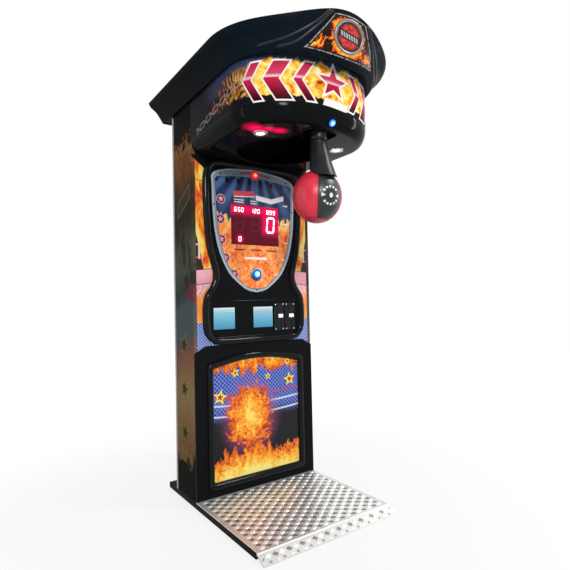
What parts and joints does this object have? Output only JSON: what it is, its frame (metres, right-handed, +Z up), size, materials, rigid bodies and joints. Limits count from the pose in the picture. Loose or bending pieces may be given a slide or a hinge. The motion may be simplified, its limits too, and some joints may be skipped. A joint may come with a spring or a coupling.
{
  "type": "boxing arcade machine",
  "caption": "Tall boxing arcade machine: column with display and coin console, overhanging visor head, swinging punch ball on a padded arm, tread plate to stand on.",
  "frame": {"origin": "middle of the floor plan, on the floor under the machine", "axes": "+X to the right of a player who faces the machine, the front faces -Y, +Z up"},
  "size_m": [0.864, 1.1271, 2.0742],
  "materials": {
    "base_black": "satin black paint",
    "tread_aluminium": "bright five-bar tread",
    "steel_bright": "zinc plated",
    "wheel_rubber": "hard rubber",
    "side_print": "board with printed film",
    "front_print": "board with printed film",
    "board_plain": "bare board",
    "edge_aluminium": "satin strip",
    "door_black": "black coated board",
    "moulding_black": "gloss black",
    "visor_black": "satin black",
    "picture_print": "printed sheet",
    "display_print": "printed sheet",
    "window_dark": "dark red window",
    "circuit_board": "lacquered circuit board",
    "screw_black": "blackened",
    "red_ring": "gloss red",
    "red_lamp": "lit red cap",
    "chrome_ring": "polished",
    "blue_lamp": "lit blue cap",
    "start_lamp": "lit blue cap",
    "start_ring": "gloss black",
    "info_print": "printed plate",
    "coin_plate": "dark grey cast plate",
    "screw_steel": "round heads",
    "key_lamp": "lit white key",
    "mechanism": "grey",
    "sheet_steel": "grey paint",
    "band_print": "printed band",
    "crest_print": "printed insert",
    "badge_grey": "grey rim",
    "badge_red": "red disc",
    "spot_glass": "lit lens",
    "frame_grey": "grey paint",
    "bearing_steel": "ground",
    "arm_steel": "grey paint",
    "sleeve_leather": "black",
    "ball_leather": "red and black gores",
    "buffer_rubber": "black"
  },
  "bodies": {
    "machine": {"base_frame": "base_black", "wheel_brackets": "base_black", "tread_plate": "tread_aluminium", "wheel_axles": "steel_bright", "hinge_leaves_fixed": "steel_bright", "hinge_pins": "steel_bright", "lock_strike": "steel_bright", "pivot_shaft": "steel_bright", "side_panel_left": "side_print", "side_panel_right": "side_print", "front_board": "front_print", "cabinet_rails": "board_plain", "edge_trims": "edge_aluminium", "lower_moulding": "moulding_black", "console_moulding": "moulding_black", "head_underside": "moulding_black", "visor_shell": "visor_black", "picture_panel": "picture_print", "display_panel": "display_print", "display_window": "window_dark", "display_board": "circuit_board", "control_board": "circuit_board", "impact_sensor": "circuit_board", "display_screws": "screw_black", "select_ring": "red_ring", "menu_ring": "chrome_ring", "spot_rings": "chrome_ring", "start_ring": "start_ring", "info_plates": "info_print", "coin_plates": "coin_plate", "coin_plate_screws": "screw_steel", "coin_mechanisms": "mechanism", "latch_solenoid": "mechanism", "coin_chute": "sheet_steel", "cash_box": "sheet_steel", "power_supply": "sheet_steel", "sign_band": "band_print", "crest_plate": "crest_print", "badge_ring": "badge_grey", "badge_disc": "badge_red", "spot_lenses": "spot_glass", "head_frame": "frame_grey", "pivot_bearings": "bearing_steel", "stop_buffers": "buffer_rubber"},
    "wheel_left": {"wheel_left": "wheel_rubber"},
    "wheel_right": {"wheel_right": "wheel_rubber"},
    "rear_door": {"rear_door": "door_black", "hinge_leaves_door": "steel_bright"},
    "rear_lock": {"rear_lock": "steel_bright"},
    "select_button": {"select_button": "red_lamp"},
    "menu_button": {"menu_button": "blue_lamp"},
    "start_button": {"start_button": "start_lamp"},
    "coin_key_left": {"coin_key_left": "key_lamp"},
    "coin_key_right": {"coin_key_right": "key_lamp"},
    "punch_arm": {"arm_tube": "arm_steel", "arm_sleeve": "sleeve_leather", "punch_ball": "ball_leather"},
    "latch_plunger": {"latch_plunger": "steel_bright"}
  },
  "joints": [
    {"name": "wheel_left_spin", "type": "hinge", "parent": "machine", "child": "wheel_left", "pos_m": [-0.25, 0.525, 0.04], "axis": [1, 0, 0], "continuous": true},
    {"name": "wheel_right_spin", "type": "hinge", "parent": "machine", "child": "wheel_right", "pos_m": [0.25, 0.525, 0.04], "axis": [1, 0, 0], "continuous": true},
    {"name": "rear_door_hinge", "type": "hinge", "parent": "machine", "child": "rear_door", "pos_m": [-0.327, 0.435, 0.886], "axis": [0, 0, 1], "range_deg": [0, 100]},
    {"name": "rear_lock_turn", "type": "hinge", "parent": "rear_door", "child": "rear_lock", "pos_m": [0.297, 0.42, 0.9], "axis": [0, 1, 0], "range_deg": [0, 90]},
    {"name": "select_press", "type": "slide", "parent": "machine", "child": "select_button", "axis": [0, 1, 0], "range_m": [0, 0.003], "stiffness_N_per_m": 400},
    {"name": "menu_press", "type": "slide", "parent": "machine", "child": "menu_button", "axis": [0, 1, 0], "range_m": [0, 0.003], "stiffness_N_per_m": 400},
    {"name": "start_press", "type": "slide", "parent": "machine", "child": "start_button", "axis": [0, 0.766, 0.6428], "range_m": [0, 0.003], "stiffness_N_per_m": 400},
    {"name": "coin_key_left_press", "type": "slide", "parent": "machine", "child": "coin_key_left", "axis": [0, 1, 0], "range_m": [0, 0.003], "stiffness_N_per_m": 400},
    {"name": "coin_key_right_press", "type": "slide", "parent": "machine", "child": "coin_key_right", "axis": [0, 1, 0], "range_m": [0, 0.003], "stiffness_N_per_m": 400},
    {"name": "arm_swing", "type": "hinge", "parent": "machine", "child": "punch_arm", "pos_m": [0, -0.351, 1.79], "axis": [1, 0, 0], "range_deg": [0, 85]},
    {"name": "latch_slide", "type": "slide", "parent": "machine", "child": "latch_plunger", "axis": [-1, 0, 0], "range_m": [0, 0.012], "stiffness_N_per_m": 200}
  ]
}
